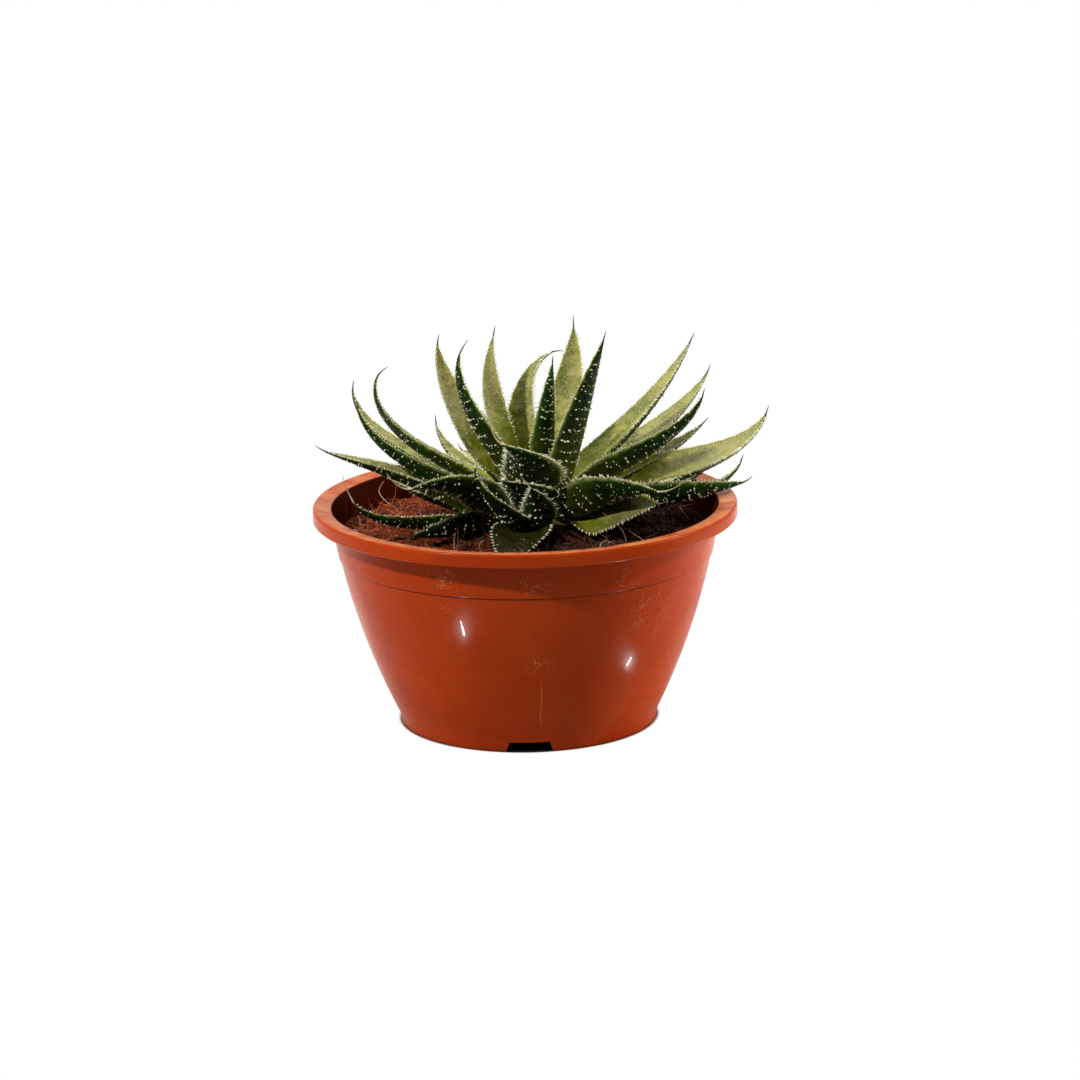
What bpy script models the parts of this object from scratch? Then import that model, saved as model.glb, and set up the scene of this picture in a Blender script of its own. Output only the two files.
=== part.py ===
"""A lace aloe growing in a round plastic bulb pot of 16 cm.

Metres, +Z up. The pot stands on Z = 0, and the origin is the middle of the
footprint of the whole plant, leaves included. The rosette of leaves sits on a
short conical stem, which is rooted in the compost a little to one side of the
pot's axis.
"""

import math
from collections import namedtuple

import bmesh
import bpy
from mathutils import Vector

MM = 0.001

# Pot: one thin moulding, wide and low, with a rolled rim.
RIM_RADIUS = 80 * MM
POT_HEIGHT = 84 * MM
FOOT_RADIUS = 48.8 * MM
WALL = 1.2 * MM
RIM_WIDTH = 7.4 * MM
RIM_FALL = 1.0 * MM
RIM_ROUND = 1.4 * MM
LIP_DROP = 5.3 * MM
LIP_WALL = 1.0 * MM
BELLY = 3.6 * MM
FOOT_SKIRT = 4 * MM
FOOT_FLARE = 0.6 * MM
FOOT_WIDTH = 2.4 * MM
FLOOR_RAISE = 3.6 * MM
FLOOR = 1.4 * MM
COLLAR_HEIGHT = 19.4 * MM
COLLAR_STEP = 0.5 * MM
POT_SIDES = 48
WALL_STEPS = 7
ROUND_STEPS = 3

# Drainage: notches through the foot, and holes in the raised floor.
NOTCH_COUNT = 4
NOTCH_FOOT_WIDTH = 19 * MM
NOTCH_TOP_WIDTH = 15 * MM
NOTCH_HEIGHT = 3.9 * MM
HOLE_RADIUS = 4 * MM
HOLE_RING = 36 * MM

# Compost: fills the pot to below the rim, and is heaped a little in the middle.
HEADSPACE = 11.5 * MM
HEAP = 1.6 * MM
GAP = 0.3 * MM
CUT_PAST = 2 * MM

# Stem: a short dome that carries the leaves, on a root stub in the compost.
STEM_X = 4.5 * MM
STEM_TOP = 1.0 * MM
STEM_FOOT_RADIUS = 16 * MM
ROOT_RADIUS = 9 * MM
ROOT_DEPTH = 24 * MM
ROOT_TIP_RADIUS = 2.5 * MM
STEM_SIDES = 24

# Leaf form, as shares of a leaf's own length, width and thickness.
LEAF_STATIONS = 10
LEAF_GAP = 0.4 * MM
BASE_SHARE = 0.78
WIDEST_AT = 0.25
TAPER_POWER = 1.6
THIN_POWER = 1.8
EDGE_POWER = 0.7
CUP = 0.16
HOOK_POWER = 5
SWING_POWER = 1.5
ROLL_BY = 0.35
ACROSS = (-1.0, -0.6, 0.0, 0.6, 1.0)

# A leaf that would come nearer to the pot than this is raised until it clears it.
RIM_CLEARANCE = 0.2 * MM
RIM_TEST_STEPS = 8
UPRIGHT = 90

# A tier of the rosette: where its leaves leave the stem, and how thick they are.
Tier = namedtuple("Tier", "radius above_soil thickness")
TIERS = {
    "heart": Tier(3.0 * MM, 18.5 * MM, 2.2 * MM),
    "inner": Tier(6.0 * MM, 17.5 * MM, 2.8 * MM),
    "upper": Tier(9.0 * MM, 15.5 * MM, 3.4 * MM),
    "middle": Tier(12.0 * MM, 13.0 * MM, 3.8 * MM),
    "lower": Tier(15.0 * MM, 9.5 * MM, 4.0 * MM),
    "outer": Tier(18.0 * MM, 5.5 * MM, 3.6 * MM),
}

# Angles are in degrees. azimuth is the way a leaf points (0 is +X, 90 is the
# back), swing turns it sideways along its length, rise is its slope at the stem,
# bend changes the slope evenly and hook mostly near the tip, and roll turns its
# face about its own line. length and width are in millimetres.
Leaf = namedtuple("Leaf", "tier azimuth swing rise bend hook length width roll")
LEAVES = (
    Leaf("heart", -40, 0, 82, 2, 0, 48, 14, 0),
    Leaf("inner", 160, -110, 64, 8, 0, 59, 11, 0),
    Leaf("inner", 45, 45, 66, 0, 0, 61, 17, 0),
    Leaf("inner", 200, 0, 53, 12, 50, 61, 14, 10),
    Leaf("upper", -28, 0, 72, -1, 0, 64, 20, 0),
    Leaf("upper", 170, 0, 52, 14, 30, 64, 17, -38),
    Leaf("upper", 112, -95, 68, -8, -45, 57, 12, 0),
    Leaf("upper", -95, -50, 58, -30, 0, 38, 22, 0),
    Leaf("upper", -8, 0, 23, 11, 40, 68, 15, -30),
    Leaf("upper", 172, 0, 19, 20, 85, 74, 13, 12),
    Leaf("upper", 26, 0, 27, 26, 8, 78, 15, 0),
    Leaf("middle", 33, 0, 17, 16, 25, 79, 17, 0),
    Leaf("middle", 165, 0, 17, 14, 60, 75, 14, 0),
    Leaf("middle", 184, 0, 15, 26, 40, 69, 12, 20),
    Leaf("middle", -104, -50, 50, -30, 0, 22, 20, 0),
    Leaf("middle", 85, 0, 10, 0, 0, 56, 15, 0),
    Leaf("lower", -58, -60, 60, 0, 0, 16, 12, 0),
    Leaf("lower", -40, 0, 34, -33, 0, 46, 20, -35),
    Leaf("lower", 14, 0, 13, -3, 60, 84, 27, 10),
    Leaf("lower", 30, 0, 17, 0, 20, 64, 14, 0),
    Leaf("lower", 140, 0, 27, 2, 50, 44, 9, 0),
    Leaf("lower", 60, 0, 8, 0, 0, 56, 15, 0),
    Leaf("lower", 115, 0, 8, 0, 0, 54, 15, 0),
    Leaf("outer", -12, 0, 19, -14, 15, 64, 19, -40),
    Leaf("outer", 218, 0, 57, -62, 0, 48, 20, 30),
    Leaf("outer", 245, -60, 40, 5, 50, 36, 14, -15),
    Leaf("outer", 185, 0, 34, -22, 10, 68, 17, 0),
    Leaf("outer", 22, 0, 8, 0, 28, 56, 13, 0),
    Leaf("outer", 4, 0, 8, 0, 60, 65, 13, -10),
    Leaf("outer", -32, 0, 21, -8, 0, 37, 23, 46),
    Leaf("outer", -88, -30, 60, -20, 0, 25, 12, 0),
    Leaf("outer", 198, 0, 3, 2, 55, 57, 13, 20),
    Leaf("outer", 213, 0, 3, -4, 0, 38, 14, 50),
    Leaf("outer", 258, 0, -6, -4, 0, 40, 22, 0),
    Leaf("outer", 160, 0, 10, 4, 20, 44, 13, 0),
)

SOIL_LEVEL = POT_HEIGHT - HEADSPACE


def start_scene():
    for obj in list(bpy.data.objects):
        bpy.data.objects.remove(obj, do_unlink=True)
    collections = []
    for name in ("potted_aloe", "cutters"):
        collections.append(bpy.data.collections.new(name))
        bpy.context.scene.collection.children.link(collections[-1])
    return collections


def plain_material(name, colour, roughness):
    material = bpy.data.materials.new(name)
    material.use_nodes = True
    shader = material.node_tree.nodes["Principled BSDF"]
    shader.inputs["Base Color"].default_value = (*colour, 1)
    shader.inputs["Roughness"].default_value = roughness
    shader.inputs["Metallic"].default_value = 0
    return material


def add_object(name, mesh, collection, material=None):
    obj = bpy.data.objects.new(name, mesh)
    collection.objects.link(obj)
    if material:
        mesh.materials.append(material)
        mesh.shade_smooth()
        mesh.set_sharp_from_angle(angle=math.radians(40))
    else:
        obj.hide_render = True
        obj.display_type = "WIRE"
    return obj


def mesh_of(name, build):
    """A mesh made by build(bm)."""
    bm = bmesh.new()
    build(bm)
    mesh = bpy.data.meshes.new(name)
    bm.to_mesh(mesh)
    bm.free()
    return mesh


def turned(name, outline, sides, collection, material=None):
    """A solid of revolution; outline is (radius, height) and runs down its outer side."""

    def build(bm):
        ring = [bm.verts.new((radius, 0, height)) for radius, height in outline]
        for a, b in zip(ring, ring[1:]):
            bm.edges.new((a, b))

    obj = add_object(name, mesh_of(name, build), collection, material)
    screw = obj.modifiers.new("turn", "SCREW")
    screw.steps = screw.render_steps = sides
    screw.use_merge_vertices = True
    screw.merge_threshold = 0.00002
    return obj


def difference(obj, cutter, solver="EXACT"):
    cut = obj.modifiers.new("cut " + cutter.name, "BOOLEAN")
    cut.operation = "DIFFERENCE"
    cut.solver = solver
    cut.object = cutter


def arc(centre, radius, start, end, steps):
    """Points of an arc in the (radius, height) plane, from start to end in degrees."""
    angles = [math.radians(start + (end - start) * i / steps) for i in range(steps + 1)]
    return [
        (centre[0] + radius * math.cos(a), centre[1] + radius * math.sin(a)) for a in angles
    ]


def wall_foot():
    return FOOT_RADIUS + FOOT_FLARE


def wall_top():
    """Radius of the outer wall where it meets the rim."""
    return RIM_RADIUS - RIM_WIDTH + WALL


def wall_radius(height):
    """Radius of the outer wall below the collar's step: a taper with a slight belly."""
    share = (height - FOOT_SKIRT) / (POT_HEIGHT - FOOT_SKIRT)
    taper = wall_foot() + (wall_top() - COLLAR_STEP - wall_foot()) * share
    return taper + 4 * BELLY * share * (1 - share)


def wall_heights(low, high):
    return [low + (high - low) * i / WALL_STEPS for i in range(WALL_STEPS + 1)]


def make_pot(collection, cutters, material):
    flange_top = POT_HEIGHT - RIM_FALL
    lip_foot = POT_HEIGHT - LIP_DROP
    under_flange = POT_HEIGHT - RIM_ROUND - LIP_WALL
    collar = POT_HEIGHT - COLLAR_HEIGHT
    inner_floor = FLOOR_RAISE + FLOOR
    ridge = (RIM_RADIUS - RIM_ROUND, POT_HEIGHT - RIM_ROUND)
    inside = [
        (wall_radius(height) - WALL, height)
        for height in wall_heights(inner_floor + FLOOR, lip_foot)
    ]
    above = [
        (wall_radius(height) + COLLAR_STEP, height)
        for height in wall_heights(collar + COLLAR_STEP, lip_foot)[:-1]
    ]
    outside = [(wall_radius(height), height) for height in wall_heights(FOOT_SKIRT, collar)]
    outline = [(0, inner_floor), (inside[0][0] - FLOOR, inner_floor)]
    outline += inside
    outline += [(wall_top() - WALL, flange_top - RIM_FALL), (wall_top() - WALL / 2, flange_top)]
    outline += arc(ridge, RIM_ROUND, 95, 0, ROUND_STEPS)
    outline += [(RIM_RADIUS, lip_foot), (RIM_RADIUS - LIP_WALL, lip_foot)]
    outline += [(RIM_RADIUS - LIP_WALL, under_flange), (wall_top() + LIP_WALL, under_flange - RIM_FALL)]
    outline += [(wall_top(), lip_foot), *reversed(above)]
    outline += reversed(outside)
    outline += [(FOOT_RADIUS, 0), (FOOT_RADIUS - FOOT_WIDTH, 0)]
    outline += [(FOOT_RADIUS - FOOT_WIDTH, FLOOR_RAISE), (0, FLOOR_RAISE)]
    pot = turned("pot", outline, POT_SIDES, collection, material)
    for number in range(NOTCH_COUNT):
        turn = math.tau * number / NOTCH_COUNT - math.pi / 2
        difference(pot, notch_cutter(number, turn, cutters))
        difference(pot, hole_cutter(number, turn, cutters))
    return pot


def notch_cutter(number, turn, cutters):
    """A block across the foot ring, narrower at its top."""

    def build(bm):
        bmesh.ops.create_cube(bm, size=1)
        for vertex in bm.verts:
            is_top = vertex.co.z > 0
            width = NOTCH_TOP_WIDTH if is_top else NOTCH_FOOT_WIDTH
            vertex.co.x = FOOT_RADIUS + vertex.co.x * 4 * FOOT_WIDTH
            vertex.co.y *= width
            vertex.co.z = NOTCH_HEIGHT if is_top else -CUT_PAST

    cutter = add_object(f"notch_{number}", mesh_of("notch", build), cutters)
    cutter.rotation_euler.z = turn
    return cutter


def hole_cutter(number, turn, cutters):
    def build(bm):
        bmesh.ops.create_cone(
            bm,
            cap_ends=True,
            segments=16,
            radius1=HOLE_RADIUS,
            radius2=HOLE_RADIUS,
            depth=FLOOR + 2 * CUT_PAST,
        )

    cutter = add_object(f"hole_{number}", mesh_of("hole", build), cutters)
    cutter.location = (
        HOLE_RING * math.cos(turn),
        HOLE_RING * math.sin(turn),
        FLOOR_RAISE + FLOOR / 2,
    )
    return cutter


def soil_outline(gap):
    """The compost's outline, grown upwards by gap."""
    top = SOIL_LEVEL + gap
    floor = FLOOR_RAISE + FLOOR + GAP
    outline = [(0, top + HEAP), (STEM_FOOT_RADIUS + STEM_X, top + HEAP)]
    outline += [
        (wall_radius(height) - WALL - GAP, min(height, top))
        for height in reversed(wall_heights(floor + FLOOR, SOIL_LEVEL))
    ]
    outline[2] = (outline[2][0], top)
    outline += [(outline[-1][0] - FLOOR, floor), (0, floor)]
    return outline


def stem_outline(gap):
    """The stem, through the foot of every tier, and its root stub, grown by gap."""
    bury = SOIL_LEVEL - ROOT_DEPTH
    tiers = [
        (tier.radius + gap, SOIL_LEVEL + tier.above_soil + gap) for tier in TIERS.values()
    ]
    return [
        (0, tiers[0][1] + STEM_TOP),
        *tiers,
        (STEM_FOOT_RADIUS + gap, SOIL_LEVEL - HEAP),
        (ROOT_RADIUS + gap, SOIL_LEVEL - ROOT_RADIUS / 2 - HEAP),
        (ROOT_TIP_RADIUS + gap, bury - gap),
        (0, bury - gap),
    ]


def make_soil(collection, cutters, material):
    soil = turned("soil", soil_outline(0), POT_SIDES, collection, material)
    pocket = turned("stem_pocket", stem_outline(GAP), STEM_SIDES, cutters)
    pocket.location.x = STEM_X
    difference(soil, pocket)
    return soil


def make_stem(collection, material):
    stem = turned("stem", stem_outline(0), STEM_SIDES, collection, material)
    stem.location.x = STEM_X
    return stem


def leaf_width(share):
    grown = math.sin(math.pi / 2 * min(share / WIDEST_AT, 1))
    past = max(share - WIDEST_AT, 0) / (1 - WIDEST_AT)
    return (BASE_SHARE + (1 - BASE_SHARE) * grown) * (1 - past**TAPER_POWER)


def leaf_thickness(share):
    return 0.1 + 0.9 * (1 - share**THIN_POWER)


def leaf_axes(leaf, share):
    """Directions along the leaf, across it and out of its upper face."""
    slope = math.radians(leaf.rise + leaf.bend * share + leaf.hook * share**HOOK_POWER)
    turn = math.radians(leaf.azimuth + leaf.swing * share**SWING_POWER)
    along = Vector(
        (math.cos(slope) * math.cos(turn), math.cos(slope) * math.sin(turn), math.sin(slope))
    )
    level = Vector((math.sin(turn), -math.cos(turn), 0))
    ramp = min(share / ROLL_BY, 1)
    roll = math.radians(leaf.roll) * ramp * ramp * (3 - 2 * ramp)
    face = level.cross(along)
    across = level * math.cos(roll) - face * math.sin(roll)
    return along, across, face * math.cos(roll) + level * math.sin(roll)


def leaf_start(leaf):
    tier = TIERS[leaf.tier]
    turn = math.radians(leaf.azimuth)
    return Vector(
        (
            STEM_X + tier.radius * math.cos(turn),
            tier.radius * math.sin(turn),
            SOIL_LEVEL + tier.above_soil,
        )
    )


def leaf_section(leaf, share, centre, gap):
    """A ring of points: over the hollow upper face, and back under the swollen one."""
    _, across, face = leaf_axes(leaf, share)
    half = leaf.width * MM / 2 * leaf_width(share)
    thickness = TIERS[leaf.tier].thickness * leaf_thickness(share)
    upper = [
        centre + across * (half + gap) * v + face * (2 * CUP * half * v * v + gap)
        for v in ACROSS
    ]
    lower = [
        centre
        + across * (half + gap) * v
        + face * (2 * CUP * half * v * v - gap - thickness * (1 - v * v) ** EDGE_POWER)
        for v in reversed(ACROSS[1:-1])
    ]
    return upper + lower


def leaf_rings(leaf, gap):
    """Sections along the leaf's curved line, and the point it ends in, all grown by gap."""
    step = leaf.length * MM / LEAF_STATIONS
    centre = leaf_start(leaf)
    rings = []
    for station in range(LEAF_STATIONS):
        share = station / LEAF_STATIONS
        back = leaf_axes(leaf, 0)[0] * (gap if station == 0 else 0)
        rings.append(leaf_section(leaf, share, centre - back, gap))
        middle = share + 0.5 / LEAF_STATIONS
        centre = centre + leaf_axes(leaf, middle)[0] * step
    return rings, centre + leaf_axes(leaf, 1)[0] * gap


def meets_pot(leaf):
    """Whether the leaf comes too near the pot's wall or rim."""
    rings, tip = leaf_rings(leaf, RIM_CLEARANCE)
    rings.append([tip] * len(rings[-1]))
    for ring, following in zip(rings, rings[1:]):
        for start, end in zip(ring, following):
            for step in range(RIM_TEST_STEPS):
                point = start.lerp(end, (step + 1) / RIM_TEST_STEPS)
                if point.z < POT_HEIGHT and point.xy.length > wall_radius(point.z) - WALL:
                    return True
    return False


def leant_in(leaf):
    """The leaf, raised a degree at a time until it clears the pot."""
    while leaf.rise < UPRIGHT and meets_pot(leaf):
        leaf = leaf._replace(rise=leaf.rise + 1)
    return leaf


def leaf_mesh(leaf, gap=0.0):
    """A loft through crescent sections along the leaf's curved line, closed to a point."""

    def build(bm):
        sections, end = leaf_rings(leaf, gap)
        rings = [[bm.verts.new(point) for point in section] for section in sections]
        tip = bm.verts.new(end)
        bm.faces.new(rings[0])
        for ring, following in zip(rings, rings[1:]):
            for i in range(len(ring)):
                j = (i + 1) % len(ring)
                bm.faces.new((ring[i], following[i], following[j], ring[j]))
        last = rings[-1]
        for i in range(len(last)):
            bm.faces.new((last[i], tip, last[(i + 1) % len(last)]))
        bmesh.ops.triangulate(bm, faces=bm.faces, quad_method="FIXED")
        bmesh.ops.recalc_face_normals(bm, faces=bm.faces)

    return mesh_of("leaf", build)


def box_of(obj):
    corners = [obj.matrix_world @ Vector(corner) for corner in obj.bound_box]
    return [min(c[i] for c in corners) for i in range(3)], [
        max(c[i] for c in corners) for i in range(3)
    ]


def boxes_meet(one, other):
    return all(
        one[0][i] < other[1][i] and other[0][i] < one[1][i] for i in range(3)
    )


def largest_piece(mesh):
    """Deletes all but the piece with the most volume."""
    bm = bmesh.new()
    bm.from_mesh(mesh)
    unseen = set(bm.verts)
    pieces = []
    while unseen:
        piece, edge = set(), [unseen.pop()]
        while edge:
            vertex = edge.pop()
            piece.add(vertex)
            near = {e.other_vert(vertex) for e in vertex.link_edges} & unseen
            unseen -= near
            edge += near
        pieces.append(piece)

    def volume(piece):
        faces = {face for vertex in piece for face in vertex.link_faces}
        return sum(face.normal.dot(face.verts[0].co) * face.calc_area() for face in faces)

    pieces.sort(key=volume)
    for piece in pieces[:-1]:
        bmesh.ops.delete(bm, geom=list(piece), context="VERTS")
    bm.to_mesh(mesh)
    bm.free()


def cut_back(obj, cutters):
    """Takes the cutters out of the object for good, and keeps its one main piece.

    Long chains of cuts through thin edges can empty a mesh with the exact solver.
    """
    for cutter in cutters:
        difference(obj, cutter, solver="MANIFOLD")
    graph = bpy.context.evaluated_depsgraph_get()
    mesh = bpy.data.meshes.new_from_object(obj.evaluated_get(graph))
    obj.modifiers.clear()
    largest_piece(mesh)
    obj.data = mesh


def make_leaves(collection, cutters, material):
    """Each leaf clears the pot and is cut back from the stem, the compost and inner leaves."""
    stem = turned("stem_room", stem_outline(GAP), STEM_SIDES, cutters)
    stem.location.x = STEM_X
    soil = turned("soil_room", soil_outline(GAP), POT_SIDES, cutters)
    rooms = [stem, soil]
    for number, leaf in enumerate(map(leant_in, LEAVES), start=1):
        obj = add_object(f"leaf_{number:02d}", leaf_mesh(leaf), collection, material)
        bpy.context.view_layer.update()
        cut_back(obj, [room for room in rooms if boxes_meet(box_of(obj), box_of(room))])
        rooms.append(add_object(f"room_{number:02d}", leaf_mesh(leaf, LEAF_GAP), cutters))


def stand_on_origin(collection):
    """Moves everything sideways so that the middle of the whole footprint is the origin."""
    bpy.context.view_layer.update()
    boxes = [box_of(obj) for obj in collection.objects]
    middle = [
        (min(box[0][i] for box in boxes) + max(box[1][i] for box in boxes)) / 2
        for i in range(2)
    ]
    stand = bpy.data.objects.new("stand", None)
    collection.objects.link(stand)
    for group in bpy.context.scene.collection.children:
        for obj in group.objects:
            if obj is not stand:
                obj.parent = stand
    stand.location = (-middle[0], -middle[1], 0)


def main():
    collection, cutters = start_scene()
    plastic = plain_material("terracotta plastic", (0.42, 0.07, 0.02), 0.3)
    compost = plain_material("compost", (0.07, 0.025, 0.015), 0.95)
    leaf_skin = plain_material("aloe leaf", (0.06, 0.11, 0.025), 0.5)
    stalk = plain_material("aloe stem", (0.3, 0.28, 0.08), 0.6)
    make_pot(collection, cutters, plastic)
    make_soil(collection, cutters, compost)
    make_stem(collection, stalk)
    make_leaves(collection, cutters, leaf_skin)
    stand_on_origin(collection)


main()
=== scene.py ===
"""Looks of a potted lace aloe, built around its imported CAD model.

Metres, +Z up, in the frame of the CAD model. Every leaf, the pot and the compost are remade
finely where their CAD nodes lie, with the teeth, tubercles, hairs and fibres of the real plant.
"""

import math
import random
from collections import namedtuple

import bmesh
import bpy
import numpy as np
from mathutils import Matrix, Vector, noise


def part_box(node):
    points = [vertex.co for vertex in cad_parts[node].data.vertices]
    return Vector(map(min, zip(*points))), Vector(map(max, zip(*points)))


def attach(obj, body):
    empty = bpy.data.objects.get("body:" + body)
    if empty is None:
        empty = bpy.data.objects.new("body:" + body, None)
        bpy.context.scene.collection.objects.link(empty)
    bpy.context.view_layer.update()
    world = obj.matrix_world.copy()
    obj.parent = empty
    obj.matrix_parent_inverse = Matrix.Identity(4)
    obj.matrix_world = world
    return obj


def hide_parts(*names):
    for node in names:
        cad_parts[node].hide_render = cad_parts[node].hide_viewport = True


MM = 0.001

# Pot, the same sizes as the CAD pot's.
RIM_WIDTH = 7.4 * MM
RIM_FALL = 1.0 * MM
RIM_ROUND = 1.4 * MM
LIP_DROP = 5.3 * MM
LIP_WALL = 1.0 * MM
WALL = 1.2 * MM
BELLY = 3.6 * MM
FOOT_RADIUS = 48.8 * MM
FOOT_SKIRT = 4 * MM
FOOT_FLARE = 0.6 * MM
FOOT_WIDTH = 2.4 * MM
FLOOR_RAISE = 3.6 * MM
FLOOR = 1.4 * MM
COLLAR_HEIGHT = 19.4 * MM
COLLAR_STEP = 0.5 * MM
NOTCH_COUNT = 4
NOTCH_FOOT_WIDTH = 19 * MM
NOTCH_TOP_WIDTH = 15 * MM
NOTCH_HEIGHT = 3.9 * MM
HOLE_RADIUS = 4 * MM
HOLE_RING = 36 * MM
POT_SIDES = 160
WALL_STEPS = 28
ROUND_STEPS = 8

# Water marks on the pot from its own axis and foot, as (place, reach), in millimetres.
SPLASHES = (
    ((4, -66, 38), 9),
    ((47, -50, 52), 15),
    ((-28, -66, 72), 11),
    ((2, -72, 70), 10),
    ((38, -60, 68), 9),
    ((-30, -62, 58), 5),
)
SCRATCH_X = 5 * MM

# Compost, and the loose pieces on it and on the rim.
HEAP = 1.6 * MM
GAP = 0.3 * MM
SOIL_RINGS = 90
SOIL_SIDES = 220
STEM_CLEARANCE = 16 * MM
FIBRES = 2600
FIBRE_STEPS = 8
FIBRE_SIDES = 4
PALE_FIBRES = 46
CHIPS = 900
CHIP_SIDES = 7
RIM_CRUMBS = 170

# Leaf form, the same as the CAD leaves'.
BASE_SHARE = 0.78
WIDEST_AT = 0.25
TAPER_POWER = 1.6
THIN_POWER = 1.8
EDGE_POWER = 0.7
CUP = 0.16
HOOK_POWER = 5
SWING_POWER = 1.5
ROLL_BY = 0.35
ALONG_STEPS = 64
FACE_STEPS = 14
RIPPLE = 0.18 * MM
RIPPLE_RATE = 1.1
TOOTH_SIDES = 5
WART_SIDES = 7
AWN_STEPS = 12
TUBE_SIDES = 5

# A leaf mesh's materials, by slot. A tip hair longer than LONG_AWN is pale, a shorter one dark.
SKIN, PALE, PALE_AWN, DARK_AWN = range(4)
LONG_AWN = 6

Tier = namedtuple("Tier", "radius above_soil thickness")
TIERS = {
    "heart": Tier(3.0 * MM, 18.5 * MM, 2.2 * MM),
    "inner": Tier(6.0 * MM, 17.5 * MM, 2.8 * MM),
    "upper": Tier(9.0 * MM, 15.5 * MM, 3.4 * MM),
    "middle": Tier(12.0 * MM, 13.0 * MM, 3.8 * MM),
    "lower": Tier(15.0 * MM, 9.5 * MM, 4.0 * MM),
    "outer": Tier(18.0 * MM, 5.5 * MM, 3.6 * MM),
}

# Angles in degrees, length and width in millimetres, as in the CAD model. teeth and warts are
# how dense a leaf's marginal teeth and its tubercles are, and awn is its tip hair's length and
# the degrees that the hair turns upwards and sideways.
Leaf = namedtuple(
    "Leaf", "tier azimuth swing rise bend hook length width roll teeth warts awn awn_up awn_side"
)
LEAVES = (
    Leaf("heart", -40, 0, 82, 2, 0, 48, 14, 0, 1.0, 1.2, 3, 0, 0),
    Leaf("inner", 160, -110, 64, 8, 0, 59, 11, 0, 0.8, 0.8, 4, 0, 0),
    Leaf("inner", 45, 45, 66, 0, 0, 61, 17, 0, 1.0, 1.0, 5, 0, 0),
    Leaf("inner", 200, 0, 53, 12, 50, 61, 14, 10, 1.0, 1.2, 6, 20, 0),
    Leaf("upper", -28, 0, 72, -1, 0, 64, 20, 0, 0.8, 1.0, 4, 0, 0),
    Leaf("upper", 170, 0, 52, 14, 30, 64, 17, -38, 0.8, 0.8, 4, 10, 0),
    Leaf("upper", 112, -95, 68, -8, -45, 57, 12, 0, 1.0, 1.0, 5, -30, 0),
    Leaf("upper", -95, -50, 58, -30, 0, 38, 22, 0, 1.4, 0.8, 12, 110, 60),
    Leaf("upper", -8, 0, 23, 11, 40, 68, 15, -30, 1.0, 0.8, 3, 0, 0),
    Leaf("upper", 172, 0, 19, 20, 85, 74, 13, 12, 1.0, 1.0, 5, 30, 0),
    Leaf("upper", 26, 0, 27, 26, 8, 78, 15, 0, 1.0, 0.9, 4, 0, 0),
    Leaf("middle", 33, 0, 17, 16, 25, 79, 17, 0, 1.0, 0.9, 4, 10, 0),
    Leaf("middle", 165, 0, 17, 14, 60, 75, 14, 0, 0.8, 0.9, 4, 10, 0),
    Leaf("middle", 184, 0, 15, 26, 40, 69, 12, 20, 1.0, 1.2, 3, 0, 0),
    Leaf("middle", -104, -50, 50, -30, 0, 22, 20, 0, 1.2, 0.5, 12, 80, -60),
    Leaf("middle", 85, 0, 10, 0, 0, 56, 15, 0, 1.0, 1.0, 5, 30, 0),
    Leaf("lower", -58, -60, 60, 0, 0, 16, 12, 0, 0.8, 0.5, 7, 10, -40),
    Leaf("lower", -40, 0, 34, -33, 0, 46, 20, -35, 1.4, 0.8, 15, 50, 20),
    Leaf("lower", 14, 0, 13, -3, 60, 84, 27, 10, 1.2, 1.0, 4, 0, 0),
    Leaf("lower", 30, 0, 17, 0, 20, 64, 14, 0, 1.0, 1.0, 4, 0, 0),
    Leaf("lower", 140, 0, 27, 2, 50, 44, 9, 0, 0.8, 0.8, 4, 10, 0),
    Leaf("lower", 60, 0, 8, 0, 0, 56, 15, 0, 1.0, 1.0, 5, 30, 0),
    Leaf("lower", 115, 0, 8, 0, 0, 54, 15, 0, 1.0, 1.0, 5, 30, 0),
    Leaf("outer", -12, 0, 19, -14, 15, 64, 19, -40, 1.3, 1.3, 4, 40, 0),
    Leaf("outer", 218, 0, 57, -62, 0, 48, 20, 30, 1.4, 0.8, 13, 100, -20),
    Leaf("outer", 245, -60, 40, 5, 50, 36, 14, -15, 1.0, 0.8, 10, 30, -60),
    Leaf("outer", 185, 0, 34, -22, 10, 68, 17, 0, 1.2, 1.2, 5, 20, 0),
    Leaf("outer", 22, 0, 8, 0, 28, 56, 13, 0, 1.0, 1.0, 4, 30, 0),
    Leaf("outer", 4, 0, 8, 0, 60, 65, 13, -10, 1.2, 1.0, 3, 0, 0),
    Leaf("outer", -32, 0, 21, -8, 0, 37, 23, 46, 0.9, 0.3, 7, 60, 30),
    Leaf("outer", -88, -30, 60, -20, 0, 25, 12, 0, 1.2, 0.5, 7, 30, 40),
    Leaf("outer", 198, 0, 3, 2, 55, 57, 13, 20, 1.2, 0.9, 12, 20, 0),
    Leaf("outer", 213, 0, 3, -4, 0, 38, 14, 50, 1.0, 0.8, 4, 20, 0),
    Leaf("outer", 258, 0, -6, -4, 0, 40, 22, 0, 0.6, 0.3, 3, 10, 0),
    Leaf("outer", 160, 0, 10, 4, 20, 44, 13, 0, 1.0, 0.8, 4, 20, 0),
)

# Painted shade: how much near-black green is mixed into the colours of some leaves that lie in
# shade, by leaf number.
SHADED_LEAVES = {
    8: 0.3, 15: 0.5, 17: 0.4, 18: 0.3, 25: 0.3, 26: 0.4, 30: 0.45, 31: 0.5, 33: 0.6, 34: 0.94,
}

# Camera: its place from the pot's axis on the floor, where it looks, and its lens.
CAMERA_BACK = 1.5
CAMERA_UP = 0.459
CAMERA_PITCH = 0.2547
CAMERA_YAW = 0.0036
CAMERA_ROLL = -0.0185
LENS = 136.7
SENSOR_WIDTH = 36

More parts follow.
